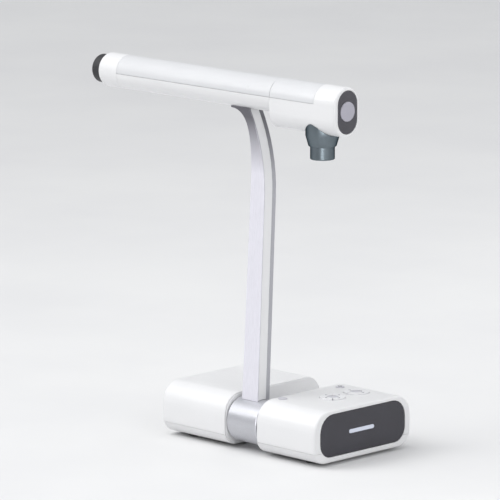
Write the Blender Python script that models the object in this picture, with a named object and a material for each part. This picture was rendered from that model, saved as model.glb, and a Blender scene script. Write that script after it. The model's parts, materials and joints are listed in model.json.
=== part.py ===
"""Document camera: notched base, folding arm, horizontal lamp bar and turning camera head.

X runs along the base and the bar, -Y is the front, Z is up. Metres.
The feet stand on Z = 0 and the base is centred on Y = 0. The pieces are drawn from a datum
near the base, and CENTRE_SHIFT then slides the whole camera so that it is centred on X = 0.
"""
from math import cos, pi, radians, sin

import bmesh
import bpy
from mathutils import Matrix, Vector
from mathutils.geometry import interpolate_bezier

# Driving dimensions
GAP = 0.0003                 # air between neighbouring pieces
WALL = 0.0024                # moulded wall thickness

BASE_LEFT = -0.058
BASE_RIGHT = 0.208
BASE_HALF_DEPTH = 0.085
BASE_LOW = 0.004             # underside of the tray, which the feet hold off the table
BASE_TOP = 0.069
BASE_SPLIT = 0.018           # seam between the tray and the covers
LOW_RADIUS = 0.020
TOP_RADIUS = 0.026
PANEL_HALF_WIDTH = 0.0748    # dark panel let into the right-hand end
PANEL_LOW = 0.0113
PANEL_TOP = 0.0642
PANEL_DEPTH = 0.003
TRAY_FLOOR = 0.0075
CORNER_STEPS = 6
HIDDEN_STEPS = 20            # facets round the turned pieces that never show

NOTCH_LEFT = 0.053
NOTCH_RIGHT = 0.109
NOTCH_BACK = -0.012
NOTCH_MIDDLE = (NOTCH_LEFT + NOTCH_RIGHT) / 2
TRIM_THICKNESS = 0.0012

PIVOT_Y = -0.056
PIVOT_Z = 0.036
DRUM_RADIUS = 0.0285
DRUM_LEFT = 0.0560
DRUM_RIGHT = 0.1065
PIN_RADIUS = 0.006

ARM_LEFT = 0.0762            # where the arm stops rising straight and curves to the left
ARM_RIGHT = 0.0985
FOOT_LEFT = 0.0634
FOOT_RIGHT = 0.0905
ARM_HALF_DEPTH = 0.0105      # either side of a line from the hinge to the bar
FRONT_STRIP = 0.0015
BACK_STRIP = 0.0060
FRAME_LEFT = 0.0800
FRAME_RIGHT = 0.0860

BAR_Y = -0.0495
BAR_Z = 0.445
LEAN = (BAR_Y - PIVOT_Y) / (BAR_Z - PIVOT_Z)
BAR_RADIUS = 0.0215
BAR_WALL = 0.0022
BAR_STEPS = 24               # facets in half a turn of the bar
SHELL_LEFT = -0.153
SHELL_RIGHT = 0.116
CAP_LEFT = -0.1871
BUMPER_LEFT = -0.2028
BUMPER_RADIUS = 0.018

HEAD_LEFT = 0.1165
HEAD_RIGHT = 0.227
HEAD_LOW = 0.406
HEAD_TOP = 0.467
HEAD_RADIUS = 0.022
HEAD_COVER_RIGHT = 0.191
HEAD_END_WALL = 0.2205
HEAD_STEPS = 14
HEAD_END_ROUND = 0.0035
PLATE_RADIUS = 0.0170        # dark oval end plate, narrower than the head
PLATE_LOW = 0.4098
PLATE_TOP = 0.4634
BUTTON_RIGHT = HEAD_RIGHT + 0.001

LENS_X = 0.1855
LENS_STEPS = 36
COLLAR_RADIUS = 0.0208       # at the head, above the cone
COLLAR_LOW_RADIUS = 0.0172
COLLAR_LOW = 0.391
COLLAR_SHOULDER = 0.4045
BARREL_RADIUS = 0.0150
BARREL_LOW = 0.3752
BARREL_TOP = 0.4285

PAD_X = 0.158
ARROW_PAD_Y = -0.002
ZOOM_PAD_Y = 0.040
PAD_RADIUS = 0.016
PAD_INNER = 0.0075
CENTRE_KEY_RADIUS = 0.0062
KEY_FOOT = 0.0645            # underside of the keys, just above the button board

LAMP_LEFT = -0.138
LAMP_RIGHT = 0.010

SCREW_PLACES = [(-0.046, -0.058), (-0.046, 0.058), (0.193, -0.058), (0.193, 0.058)]
FOOT_PLACES = [(-0.028, -0.055), (-0.028, 0.055), (0.176, -0.055), (0.176, 0.055)]
SINGLE_KEYS = {"arm_release_key": (0.1195, -0.050), "power_key": (0.1235, 0.047)}
CENTRE_SHIFT = -(BUMPER_LEFT + BUTTON_RIGHT) / 2


# Scene and materials

def clear_scene():
    for old in list(bpy.data.objects):
        bpy.data.objects.remove(old, do_unlink=True)


def material(name, colour, roughness, metallic=0.0):
    finish = bpy.data.materials.new(name)
    finish.use_nodes = True
    shader = finish.node_tree.nodes["Principled BSDF"]
    shader.inputs["Base Color"].default_value = (*colour, 1.0)
    shader.inputs["Roughness"].default_value = roughness
    shader.inputs["Metallic"].default_value = metallic
    return finish


def place_of(parent):
    return parent.matrix_world.translation if parent else Vector()


def axis_empty(name, place, parent=None):
    empty = bpy.data.objects.new(name, None)
    bpy.context.collection.objects.link(empty)
    empty.parent = parent
    empty.location = Vector(place) - place_of(parent)
    bpy.context.view_layer.update()
    return empty


# Outlines, as lists of (u, v) points

def arc(centre_u, centre_v, radius, start, end, steps):
    angles = [radians(start + (end - start) * i / steps) for i in range(steps + 1)]
    return [(centre_u + radius * cos(a), centre_v + radius * sin(a)) for a in angles]


def circle(centre_u, centre_v, radius, steps=32):
    return arc(centre_u, centre_v, radius, 0, 360, steps)[:-1]


def rectangle(u0, v0, u1, v1):
    return [(u0, v0), (u1, v0), (u1, v1), (u0, v1)]


def rounded_rectangle(u0, v0, u1, v1, radius, steps=4):
    return (arc(u1 - radius, v0 + radius, radius, -90, 0, steps)
            + arc(u1 - radius, v1 - radius, radius, 0, 90, steps)
            + arc(u0 + radius, v1 - radius, radius, 90, 180, steps)
            + arc(u0 + radius, v0 + radius, radius, 180, 270, steps))


def ring_sector(centre_u, centre_v, inner, outer, middle, half_angle, steps):
    return (arc(centre_u, centre_v, outer, middle - half_angle, middle + half_angle, steps)
            + arc(centre_u, centre_v, inner, middle + half_angle, middle - half_angle, steps))


def base_section(inset=0.0):
    """Cross-section of the base across X, as (y, z) points."""
    low, top = LOW_RADIUS - inset, TOP_RADIUS - inset
    right = (arc(BASE_HALF_DEPTH - LOW_RADIUS, BASE_LOW + LOW_RADIUS, low, -90, 0, CORNER_STEPS)
             + arc(BASE_HALF_DEPTH - TOP_RADIUS, BASE_TOP - TOP_RADIUS, top, 0, 90, CORNER_STEPS))
    return right + [(-y, z) for y, z in reversed(right)]


def head_section(inset=0.0):
    """Cross-section of the camera head across X: an upright oval of two half-rounds."""
    radius = HEAD_RADIUS - inset
    return (arc(BAR_Y, HEAD_TOP - HEAD_RADIUS, radius, 0, 180, HEAD_STEPS)
            + arc(BAR_Y, HEAD_LOW + HEAD_RADIUS, radius, 180, 360, HEAD_STEPS))


def plate_section(inset=0.0):
    """Outline of the head's end plate, as (y, z) points."""
    radius = PLATE_RADIUS - inset
    return (arc(BAR_Y, PLATE_TOP - PLATE_RADIUS, radius, 0, 180, HEAD_STEPS)
            + arc(BAR_Y, PLATE_LOW + PLATE_RADIUS, radius, 180, 360, HEAD_STEPS))


def panel_section(inset=0.0):
    """Outline of the end panel, as (y, z) points: flatter than the base, with fuller corners."""
    side = PANEL_HALF_WIDTH - inset
    corners = ((side, PANEL_LOW + inset, 0.018 - inset, -90), (side, PANEL_TOP - inset, 0.022 - inset, 0))
    right = []
    for y, z, radius, start in corners:
        towards = 1 if start < 0 else -1
        right += arc(y - radius, z + towards * radius, radius, start, start + 90, CORNER_STEPS)
    return right + [(-y, z) for y, z in reversed(right)]


def arm_outline():
    """Front view of the arm, as (x, z) points: tapering and leaning right, then curving left."""
    saddle, inside_bar = BAR_Z - BAR_RADIUS - GAP, BAR_Z - 0.005
    tip, foot, turn, sweep = 0.040, 0.030, 0.325, 0.2013
    right = arc(ARM_RIGHT - sweep, turn, sweep, -1.6, 29.3, 8)
    handles = ((tip, saddle, 0), (0.065, saddle, 0), (ARM_LEFT, 0.403, 0), (ARM_LEFT, 0.345, 0))
    left = [(point[0], point[1]) for point in interpolate_bezier(*handles, 13)]
    top = [(right[-1][0], inside_bar), (tip, inside_bar)]
    return [(FOOT_LEFT, foot), (FOOT_RIGHT, foot)] + right + top + left


# Solids

def to_space(axis, u, v, w):
    if axis == "X":
        return (w, u, v)
    if axis == "Y":
        return (u, w, v)
    return (u, v, w)


def finish_object(name, mesh, finish, origin, parent):
    bmesh.ops.recalc_face_normals(mesh, faces=mesh.faces)
    parent = parent or ROOT
    place = Vector(origin) if origin else place_of(parent)
    data = bpy.data.meshes.new(name)
    mesh.to_mesh(data)
    mesh.free()
    data.transform(Matrix.Translation(-place))
    data.materials.append(finish)
    data.shade_smooth()
    data.set_sharp_from_angle(angle=radians(32))
    piece = bpy.data.objects.new(name, data)
    bpy.context.collection.objects.link(piece)
    piece.parent = parent
    piece.location = place - place_of(parent)
    return piece


def loft(name, rings, finish, origin=None, parent=None):
    """A closed body over rings of points in space that all have the same count."""
    mesh = bmesh.new()
    loops = [[mesh.verts.new(point) for point in ring] for ring in rings]
    for near, far in zip(loops, loops[1:]):
        for i in range(len(near)):
            j = (i + 1) % len(near)
            mesh.faces.new((near[i], near[j], far[j], far[i]))
    mesh.faces.new(loops[0])
    mesh.faces.new(loops[-1])
    return finish_object(name, mesh, finish, origin, parent)


def extrude(name, outline, axis, start, end, finish, origin=None, parent=None):
    rings = [[to_space(axis, u, v, w) for u, v in outline] for w in (start, end)]
    return loft(name, rings, finish, origin, parent)


def box(name, low, high, finish, origin=None, parent=None):
    outline = rectangle(low[0], low[1], high[0], high[1])
    return extrude(name, outline, "Z", low[2], high[2], finish, origin, parent)


def lathe(name, profile, axis, centre, steps, finish, origin=None, parent=None, closed=False):
    """Turn a profile of (radius, place along the axis) points about the axis through centre."""
    mesh = bmesh.new()
    loops = []
    for radius, along in profile:
        if radius == 0:
            loops.append([mesh.verts.new(to_space(axis, *centre, along))])
        else:
            loops.append([mesh.verts.new(to_space(axis, *point, along))
                          for point in circle(*centre, radius, steps)])
    pairs = list(zip(loops, loops[1:])) + ([(loops[-1], loops[0])] if closed else [])
    for near, far in pairs:
        for i in range(steps):
            j = (i + 1) % steps
            corners = [near[i % len(near)], near[j % len(near)], far[j % len(far)], far[i % len(far)]]
            mesh.faces.new(list(dict.fromkeys(corners)))
    return finish_object(name, mesh, finish, origin, parent)


def boolean(piece, tool, operation="DIFFERENCE"):
    step = piece.modifiers.new(operation.lower(), "BOOLEAN")
    step.operation = operation
    step.object = tool
    tool.hide_render = True
    tool.display_type = "WIRE"


def cut_box(piece, low, high, tag):
    boolean(piece, box(f"{piece.name}_cut_{tag}", low, high, TOOL))


def cut_round(piece, axis, centre, radius, start, end, tag, steps=32):
    boolean(piece, extrude(f"{piece.name}_cut_{tag}", circle(*centre, radius, steps), axis, start, end, TOOL))


def rounded_ends(section, left, right, left_round, right_round, steps=3):
    """Rings of a long body along X whose ends are rounded over."""
    rings = []
    for i in range(steps + 1):
        turn = pi / 2 * i / steps
        inset = left_round * (1 - sin(turn))
        rings.append([(left + left_round * (1 - cos(turn)), y, z) for y, z in section(inset)])
    for i in range(steps + 1):
        turn = pi / 2 * (1 - i / steps)
        inset = right_round * (1 - sin(turn))
        rings.append([(right - right_round * (1 - cos(turn)), y, z) for y, z in section(inset)])
    return rings


# Base

def cut_panel_recess(piece):
    floor = BASE_RIGHT - PANEL_DEPTH
    boolean(piece, extrude(f"{piece.name}_panel_recess", panel_section(-GAP), "X", floor, 0.25, TOOL))


def base_pocket(name, left, right, low, high):
    """The hollow inside a stretch of the base."""
    pocket = extrude(name, base_section(WALL), "X", left + WALL, right - WALL, TOOL)
    cut_box(pocket, (left, -0.1, -0.05), (right, 0.1, low), "below")
    if high < BASE_TOP:
        cut_box(pocket, (left, -0.1, high), (right, 0.1, 0.2), "above")
    return pocket


def make_tray():
    rings = rounded_ends(base_section, BASE_LEFT, BASE_RIGHT, 0.004, 0.003)
    tray = loft("base_tray", rings, WHITE)
    cut_box(tray, (-0.1, -0.1, BASE_SPLIT), (0.3, 0.1, 0.1), "top")
    cut_box(tray, (NOTCH_LEFT, -0.1, 0), (NOTCH_RIGHT, NOTCH_BACK, 0.1), "notch")
    boolean(tray, base_pocket("tray_left_pocket", BASE_LEFT, NOTCH_LEFT, TRAY_FLOOR, 0.03))
    boolean(tray, base_pocket("tray_right_pocket", NOTCH_RIGHT, BASE_RIGHT - PANEL_DEPTH, TRAY_FLOOR, 0.03))
    cut_box(tray, (NOTCH_LEFT - 0.005, NOTCH_BACK + WALL, TRAY_FLOOR), (NOTCH_RIGHT + 0.005, 0.068, 0.03),
            "bridge")
    cut_panel_recess(tray)
    for i, (x, y) in enumerate(SCREW_PLACES):
        cut_round(tray, "Z", (x, y), 0.0040, -0.01, 0.0058, f"screw_head_{i}", 20)
        cut_round(tray, "Z", (x, y), 0.0020, -0.01, 0.02, f"screw_hole_{i}", 12)
    return tray


def make_cover(name, left, right, left_round, right_round, inner_right, screws):
    cover = loft(name, rounded_ends(base_section, left, right, left_round, right_round), WHITE)
    cut_box(cover, (-0.1, -0.1, -0.05), (0.3, 0.1, BASE_SPLIT + GAP), "bottom")
    boolean(cover, base_pocket(f"{name}_pocket", left, inner_right, 0.0, BASE_TOP))
    pivot = (PIVOT_Y, PIVOT_Z)
    cut_round(cover, "X", pivot, PIN_RADIUS + 0.0008, NOTCH_LEFT - 0.02, NOTCH_RIGHT + 0.02, "pin")
    for i, (x, y) in enumerate(screws):
        boss = extrude(f"{name}_boss_{i}", circle(x, y, 0.0045, 20), "Z", 0.014, BASE_TOP - 0.0018, TOOL)
        boolean(cover, boss, "UNION")
        cut_round(cover, "Z", (x, y), 0.0019, 0.0, 0.030, f"boss_hole_{i}", 12)
    return cover


def make_base():
    make_tray()
    left_cover = make_cover("left_cover", BASE_LEFT, NOTCH_LEFT, 0.004, 0.001, NOTCH_LEFT, SCREW_PLACES[:2])
    cut_box(left_cover, (-0.0370, 0.075, 0.0212), (0.0350, 0.1, 0.0412), "rear_window")
    right_cover = make_cover("right_cover", NOTCH_RIGHT, BASE_RIGHT, 0.001, 0.003, BASE_RIGHT - PANEL_DEPTH,
                             SCREW_PLACES[2:])
    cut_panel_recess(right_cover)
    for tag, y in (("arrow_pad", ARROW_PAD_Y), ("zoom_pad", ZOOM_PAD_Y)):
        cut_round(right_cover, "Z", (PAD_X, y), PAD_RADIUS + GAP, 0.055, 0.08, tag, 40)
    for name, (x, y) in SINGLE_KEYS.items():
        cut_round(right_cover, "Z", (x, y), 0.0055 + GAP, 0.055, 0.08, name, 24)
    make_end_panel()
    make_notch()
    make_base_inside()
    make_sockets()


def make_end_panel():
    stations = ((BASE_RIGHT - PANEL_DEPTH + GAP, 0.0), (BASE_RIGHT - 0.0008, 0.0), (BASE_RIGHT - GAP, 0.0005))
    panel = loft("end_panel", [[(x, y, z) for y, z in panel_section(inset)] for x, inset in stations], SMOKED)
    slot = rounded_rectangle(-0.0243, 0.0352, 0.0203, 0.0408, 0.0026)
    light = rounded_rectangle(-0.0240, 0.0355, 0.0200, 0.0405, 0.0024)
    boolean(panel, extrude("end_panel_light_slot", slot, "X", BASE_RIGHT - 0.0016, 0.25, TOOL))
    extrude("indicator_light", light, "X", BASE_RIGHT - 0.0013, BASE_RIGHT - GAP, LIGHT)


def make_notch():
    box("bridge_plate", (NOTCH_LEFT + GAP, NOTCH_BACK + GAP, BASE_SPLIT + GAP),
        (NOTCH_RIGHT - GAP, BASE_HALF_DEPTH - 0.0012, 0.0206), WHITE)
    for name, left in (("left_notch_trim", NOTCH_LEFT + GAP),
                       ("right_notch_trim", NOTCH_RIGHT - GAP - TRIM_THICKNESS)):
        trim = extrude(name, base_section(0.002), "X", left, left + TRIM_THICKNESS, WHITE)
        cut_box(trim, (0, NOTCH_BACK - GAP, -0.05), (0.2, 0.1, 0.0209), "bridge")
        cut_round(trim, "X", (PIVOT_Y, PIVOT_Z), PIN_RADIUS + 0.0008, 0, 0.2, "pin")


def mirror_x(outline):
    return [(2 * NOTCH_MIDDLE - x, z) for x, z in outline]


def make_base_inside():
    plate = [(-0.038, -0.066), (0.046, -0.066), (0.046, -0.006), (0.116, -0.006),
             (0.116, -0.066), (0.186, -0.066), (0.186, 0.066), (-0.038, 0.066)]
    extrude("ballast_plate", plate, "Z", TRAY_FLOOR + GAP, 0.0118, STEEL)
    angle = [(0.030, 0.0121), (0.049, 0.0121), (0.049, 0.056), (0.0465, 0.056),
             (0.0465, 0.0146), (0.030, 0.0146)]
    for name, outline in (("left_hinge_bracket", angle), ("right_hinge_bracket", mirror_x(angle))):
        bracket = extrude(name, outline, "Y", PIVOT_Y - 0.015, PIVOT_Y + 0.015, STEEL)
        cut_round(bracket, "X", (PIVOT_Y, PIVOT_Z), PIN_RADIUS + GAP, 0, 0.2, "pin")
    pin = [(0, 0.0410), (0.009, 0.0410), (0.009, 0.0438), (PIN_RADIUS, 0.0438), (PIN_RADIUS, 0.1175),
           (0.005, 0.1185), (0, 0.1185)]
    lathe("hinge_pin", pin, "X", (PIVOT_Y, PIVOT_Z), HIDDEN_STEPS, STEEL)
    washer = [(0.0065, 0.0549), (0.0125, 0.0549), (0.0125, 0.0557), (0.0065, 0.0557)]
    lathe("friction_washer", washer, "X", (PIVOT_Y, PIVOT_Z), HIDDEN_STEPS, BRASS, closed=True)
    make_spring()
    box("main_board", (-0.038, -0.045, 0.0205), (0.045, 0.080, 0.0221), BOARD)
    extrude("button_board", rounded_rectangle(0.116, -0.062, 0.184, 0.066, 0.003), "Z", 0.0612, 0.0628, BOARD)
    screw = [(0, 0.0042), (0.0035, 0.0042), (0.0035, 0.0055), (0.0015, 0.0055), (0.0015, 0.022), (0, 0.0235)]
    for i, (x, y) in enumerate(SCREW_PLACES, 1):
        lathe(f"tray_screw_{i}", screw, "Z", (x, y), 12, STEEL)
    for i, (x, y) in enumerate(FOOT_PLACES, 1):
        foot = [(0, 0), (0.0078, 0), (0.0090, 0.0012), (0.0090, BASE_LOW - GAP), (0, BASE_LOW - GAP)]
        lathe(f"rubber_foot_{i}", foot, "Z", (x, y), 24, RUBBER)


def make_spring():
    """Torsion spring that balances the arm, coiled round the pin inside the drum."""
    coil_radius, wire, left, right, turns, per_turn, sides = 0.0140, 0.0011, 0.0585, 0.0675, 3, 14, 5
    rings = []
    for i in range(turns * per_turn + 1):
        turn = 2 * pi * i / per_turn
        x = left + (right - left) * i / (turns * per_turn)
        ring = []
        for k in range(sides):
            round_wire = 2 * pi * k / sides
            radius = coil_radius + wire * cos(round_wire)
            y, z = PIVOT_Y + radius * cos(turn), PIVOT_Z + radius * sin(turn)
            ring.append((x + wire * sin(round_wire), y, z))
        rings.append(ring)
    loft("torsion_spring", rings, STEEL)


def make_sockets():
    """Rear sockets on the main board, behind their dark plate."""
    plate = box("rear_socket_plate", (-0.0367, 0.0828, 0.0215), (0.0347, 0.0848, 0.0409), DARK)
    front, back, rest = 0.0822, 0.066, 0.0224
    power = box("power_socket", (-0.0350, back, rest), (-0.0250, front, 0.0334), BLACK)
    cut_round(power, "Y", (-0.030, 0.0279), 0.0032, 0.070, 0.1, "bore", 24)
    cut_round(plate, "Y", (-0.030, 0.0279), 0.0045, 0.05, 0.1, "power", 24)
    for name, middle, width, height, depth in (("usb_socket", -0.0135, 0.0126, 0.0050, 0.069),
                                               ("hdmi_socket", 0.0035, 0.0140, 0.0046, 0.072)):
        left, right, low = middle - width / 2, middle + width / 2, 0.0238
        high = low + height
        socket = box(name, (left - 0.0008, back, rest), (right + 0.0008, front, high + 0.0014), METAL)
        cut_box(socket, (left, depth, low), (right, 0.1, high), "mouth")
        cut_box(plate, (left - GAP, 0.05, low - GAP), (right + GAP, 0.1, high + GAP), name)
    vga = box("vga_socket", (0.0140, back, rest), (0.0330, front, 0.0364), VGA_BLUE)
    shell = [(0.0160, 0.0250), (0.0310, 0.0250), (0.0318, 0.0334), (0.0152, 0.0334)]
    window = [(0.0157, 0.0247), (0.0313, 0.0247), (0.0322, 0.0337), (0.0148, 0.0337)]
    boolean(vga, extrude("vga_socket_shell", shell, "Y", front - 0.004, 0.0845, TOOL), "UNION")
    boolean(plate, extrude("plate_vga_window", window, "Y", 0.05, 0.1, TOOL))


# Keys

def make_key(name, outline, foot_outline, x, y, top, finish):
    """A key with a wider foot under the cover, and its top edge slightly eased."""
    eased = [(x + (u - x) * 0.97, y + (v - y) * 0.97) for u, v in outline]
    levels = ((foot_outline, KEY_FOOT), (foot_outline, KEY_FOOT + 0.0018), (outline, KEY_FOOT + 0.0018),
              (outline, top - 0.0005), (eased, top))
    rings = [[(u, v, z) for u, v in points] for points, z in levels]
    loft(name, rings, finish, origin=(x, y, top))


def make_ring_keys(names, pad_y, half_angle, steps):
    for i, name in enumerate(names):
        middle = 360 * i / len(names)
        reach = (PAD_RADIUS + PAD_INNER) / 2
        x = PAD_X + reach * cos(radians(middle))
        y = pad_y + reach * sin(radians(middle))
        outline = ring_sector(PAD_X, pad_y, PAD_INNER, PAD_RADIUS, middle, half_angle, steps)
        foot = ring_sector(PAD_X, pad_y, PAD_INNER, PAD_RADIUS + 0.0015, middle, half_angle, steps)
        make_key(name, outline, foot, x, y, BASE_TOP + 0.0016, KEY)


def make_keys():
    make_ring_keys(("right_key", "back_key", "left_key", "front_key"), ARROW_PAD_Y, 42.0, 7)
    make_ring_keys(("zoom_in_key", "zoom_out_key"), ZOOM_PAD_Y, 87.0, 16)
    for name, y in (("menu_key", ARROW_PAD_Y), ("freeze_key", ZOOM_PAD_Y)):
        outline = circle(PAD_X, y, CENTRE_KEY_RADIUS, 24)
        foot = circle(PAD_X, y, CENTRE_KEY_RADIUS + 0.0006, 24)
        make_key(name, outline, foot, PAD_X, y, BASE_TOP + 0.0010, GREY_KEY)
    for name, (x, y) in SINGLE_KEYS.items():
        make_key(name, circle(x, y, 0.0055, 24), circle(x, y, 0.0070, 24), x, y, BASE_TOP + 0.0012, GREY_KEY)


# Arm and bar

def cut_bar_saddle(piece):
    cut_round(piece, "X", (BAR_Y, BAR_Z), BAR_RADIUS + GAP, -0.1, 0.2, "saddle", 2 * BAR_STEPS)


def arm_slab(name, outline, front, back, finish, parent=None):
    """A body over an (x, z) outline between two depths in the arm, leaning back as the arm does."""
    rings = [[(x, PIVOT_Y + depth + (z - PIVOT_Z) * LEAN, z) for x, z in outline] for depth in (front, back)]
    return loft(name, rings, finish, parent=parent)


def make_arm(arm_axis):
    edge = 0.0012
    drum_profile = [(PIN_RADIUS + GAP, DRUM_LEFT), (0.0095, DRUM_LEFT), (0.0095, 0.0700), (0.0185, 0.0700),
                    (0.0185, DRUM_LEFT), (DRUM_RADIUS - edge, DRUM_LEFT), (DRUM_RADIUS, DRUM_LEFT + edge),
                    (DRUM_RADIUS, DRUM_RIGHT - edge), (DRUM_RADIUS - edge, DRUM_RIGHT),
                    (PIN_RADIUS + GAP, DRUM_RIGHT)]
    pivot = (PIVOT_Y, PIVOT_Z)
    drum = lathe("hinge_drum", drum_profile, "X", pivot, 48, SILVER, parent=arm_axis, closed=True)
    slot_room = 0.0004
    cut_box(drum, (FRAME_LEFT - slot_room, PIVOT_Y - 0.0077, 0.0497),
            (FRAME_RIGHT + slot_room, PIVOT_Y + 0.0055, 0.09), "frame_slot")

    outline = arm_outline()
    front, back = -ARM_HALF_DEPTH, ARM_HALF_DEPTH
    shell_front, shell_back = front + FRONT_STRIP + GAP, back - BACK_STRIP - GAP
    front_strip = arm_slab("arm_front_strip", outline, front, front + FRONT_STRIP, LAVENDER, arm_axis)
    shell = arm_slab("arm_shell", outline, shell_front, shell_back, WHITE, arm_axis)
    back_strip = arm_slab("arm_back_strip", outline, back - BACK_STRIP, back, GRAPHITE, arm_axis)
    for piece in (front_strip, shell, back_strip):
        cut_bar_saddle(piece)
        cut_round(piece, "X", pivot, DRUM_RADIUS + GAP, 0, 0.2, "drum", 48)
    side = 0.0022
    channel = [(FOOT_LEFT + side, 0.020), (FOOT_RIGHT - side, 0.020), (ARM_RIGHT - 2 * side, 0.3455),
               (ARM_LEFT + side, 0.3455)]
    boolean(shell, arm_slab("arm_shell_channel", channel, front - 0.01, back + 0.01, TOOL))
    frame = rectangle(FRAME_LEFT, 0.0500, FRAME_RIGHT, 0.3440)
    arm_slab("arm_frame", frame, -0.0070, 0.0038, STEEL, arm_axis)


def half_tube(name, start_angle, end_angle, left, right, finish, parent):
    outline = (arc(BAR_Y, BAR_Z, BAR_RADIUS, start_angle, end_angle, BAR_STEPS)
               + arc(BAR_Y, BAR_Z, BAR_RADIUS - BAR_WALL, end_angle, start_angle, BAR_STEPS))
    return extrude(name, outline, "X", left, right, finish, parent=parent)


def make_bar(arm_axis):
    lower = half_tube("bar_lower_shell", 180.5, 359.5, SHELL_LEFT, SHELL_RIGHT, WHITE, arm_axis)
    half_tube("bar_top_cover", 0.5, 179.5, SHELL_LEFT, SHELL_RIGHT, PALE, arm_axis)
    cut_box(lower, (LAMP_LEFT, BAR_Y - 0.0075, 0.40), (LAMP_RIGHT, BAR_Y + 0.0075, 0.432), "lamp_window")
    diffuser = (arc(BAR_Y, BAR_Z, BAR_RADIUS - GAP, 251, 289, 8)
                + arc(BAR_Y, BAR_Z, BAR_RADIUS - BAR_WALL, 289, 251, 8))
    extrude("lamp_diffuser", diffuser, "X", LAMP_LEFT + GAP, LAMP_RIGHT - GAP, DIFFUSER, parent=arm_axis)
    box("lamp_board", (LAMP_LEFT + 0.002, BAR_Y - 0.010, 0.4315),
        (LAMP_RIGHT - 0.002, BAR_Y + 0.010, 0.4331), BOARD, parent=arm_axis)

    axis_centre = (BAR_Y, BAR_Z)
    shoulder = 0.004
    corner = [(BAR_RADIUS - shoulder + shoulder * sin(a), CAP_LEFT + shoulder - shoulder * cos(a))
              for a in (0, pi / 8, pi / 4, 3 * pi / 8, pi / 2)]
    inner = BAR_RADIUS - BAR_WALL
    cap = [(0, CAP_LEFT)] + corner + [(BAR_RADIUS, SHELL_LEFT - GAP), (inner, SHELL_LEFT - GAP),
                                      (inner, CAP_LEFT + 0.005), (inner - 0.003, CAP_LEFT + BAR_WALL),
                                      (0, CAP_LEFT + BAR_WALL)]
    lathe("left_end_cap", cap, "X", axis_centre, 2 * BAR_STEPS, WHITE, parent=arm_axis)
    bulge = 0.004
    round_over = [(BUMPER_RADIUS - bulge + bulge * cos(a), BUMPER_LEFT + bulge - bulge * sin(a))
                  for a in (0, pi / 8, pi / 4, 3 * pi / 8, pi / 2)]
    bumper = [(0, CAP_LEFT - GAP), (BUMPER_RADIUS, CAP_LEFT - GAP)] + round_over + [(0, BUMPER_LEFT)]
    lathe("left_end_bumper", bumper, "X", axis_centre, 2 * BAR_STEPS, DARK, parent=arm_axis)

    bearing = [(0.0083, 0.1100), (0.0190, 0.1100), (0.0190, 0.1160), (0.0083, 0.1160)]
    lathe("pivot_bearing", bearing, "X", axis_centre, 32, DARK, parent=arm_axis, closed=True)
    tube = [(0.0062, 0.1000), (0.0080, 0.1000), (0.0080, 0.1190), (0.0120, 0.1190), (0.0120, 0.1210),
            (0.0062, 0.1210)]
    lathe("pivot_tube", tube, "X", axis_centre, HIDDEN_STEPS, STEEL, parent=arm_axis, closed=True)


# Camera head

def head_body(name, finish, head_axis):
    body = loft(name, rounded_ends(head_section, HEAD_LEFT, HEAD_RIGHT, 0.0008, HEAD_END_ROUND),
                finish, parent=head_axis)
    cavity = extrude(f"{name}_cavity", head_section(BAR_WALL), "X", HEAD_LEFT + BAR_WALL, HEAD_END_WALL, TOOL)
    boolean(body, cavity)
    cut_round(body, "X", (BAR_Y, BAR_Z), 0.0083, 0.10, 0.1205, "pivot")
    return body


def make_head_end(shell, head_axis):
    """Dark oval end plate with the round focus button in it."""
    middle = (BAR_Y, (PLATE_LOW + PLATE_TOP) / 2 + 0.0010)
    plate_back = HEAD_RIGHT - 0.0022
    boolean(shell, extrude("head_end_recess", plate_section(), "X", plate_back, 0.25, TOOL))
    cut_round(shell, "X", middle, 0.0128, HEAD_RIGHT - 0.004, 0.25, "button_well", 36)
    stations = ((plate_back + GAP, GAP), (HEAD_RIGHT - 0.0007, GAP), (HEAD_RIGHT, 0.0010))
    rings = [[(x, y, z) for y, z in plate_section(inset)] for x, inset in stations]
    plate = loft("head_end_plate", rings, SMOKED, parent=head_axis)
    cut_round(plate, "X", middle, 0.0125, 0.2, 0.25, "button", 36)
    button = [(0, BUTTON_RIGHT - 0.0033), (0.0121, BUTTON_RIGHT - 0.0033), (0.0121, BUTTON_RIGHT - 0.0006),
              (0.0113, BUTTON_RIGHT), (0, BUTTON_RIGHT)]
    lathe("focus_button", button, "X", middle, 36, GREY_KEY, origin=(HEAD_RIGHT, *middle))


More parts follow.
